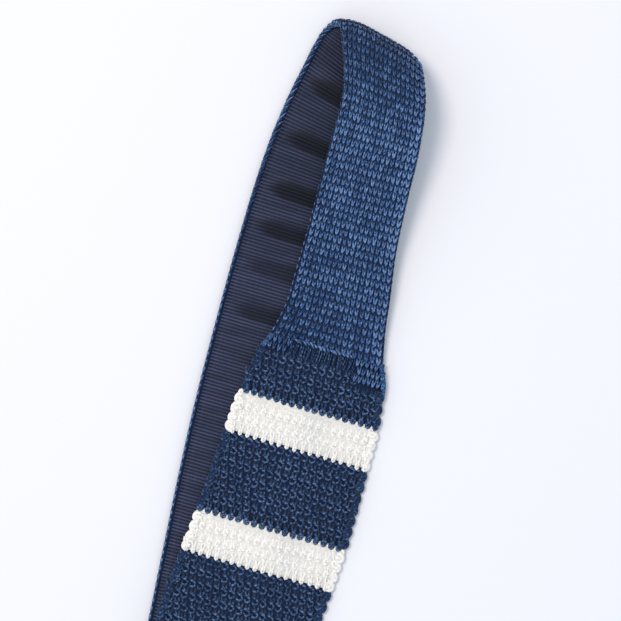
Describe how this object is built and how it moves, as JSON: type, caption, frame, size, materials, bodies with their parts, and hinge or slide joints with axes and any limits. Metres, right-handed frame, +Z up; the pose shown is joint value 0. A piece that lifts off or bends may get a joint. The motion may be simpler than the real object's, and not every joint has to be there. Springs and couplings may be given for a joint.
{
  "type": "knit tie",
  "caption": "Knitted necktie folded over at the neck and laid flat: striped front blade, plain rear blade and a finer neck band with a ribbed ribbon lining.",
  "frame": {"origin": "on the table, at the middle of the tie's outline seen from above", "axes": "+Y along the tie towards the fold at the neck, +Z up through the two layers, +X to the right of the front blade seen from above"},
  "size_m": [0.0756, 0.7328, 0.022],
  "materials": {
    "navy_knit": "chunky navy knit, matt wool",
    "ecru_knit": "chunky ecru knit, matt wool",
    "heather_knit": "fine heathered blue knit",
    "ribbon_lining": "dark ribbed ribbon with a slight sheen"
  },
  "bodies": {
    "root": {"front_blade_navy_01": "navy_knit", "front_blade_navy_02": "navy_knit", "front_blade_navy_03": "navy_knit", "front_blade_navy_04": "navy_knit", "front_blade_navy_05": "navy_knit", "front_blade_navy_06": "navy_knit", "front_blade_navy_07": "navy_knit", "front_blade_navy_08": "navy_knit", "front_blade_navy_09": "navy_knit", "front_blade_navy_10": "navy_knit", "front_blade_navy_11": "navy_knit", "front_blade_navy_12": "navy_knit", "front_blade_navy_13": "navy_knit", "front_blade_stripe_01": "ecru_knit", "front_blade_stripe_02": "ecru_knit", "front_blade_stripe_03": "ecru_knit", "front_blade_stripe_04": "ecru_knit", "front_blade_stripe_05": "ecru_knit", "front_blade_stripe_06": "ecru_knit", "front_blade_stripe_07": "ecru_knit", "front_blade_stripe_08": "ecru_knit", "front_blade_stripe_09": "ecru_knit", "front_blade_stripe_10": "ecru_knit", "front_blade_stripe_11": "ecru_knit", "front_blade_stripe_12": "ecru_knit", "neck_band": "heather_knit", "neck_lining": "ribbon_lining", "rear_blade": "navy_knit"}
  },
  "joints": []
}
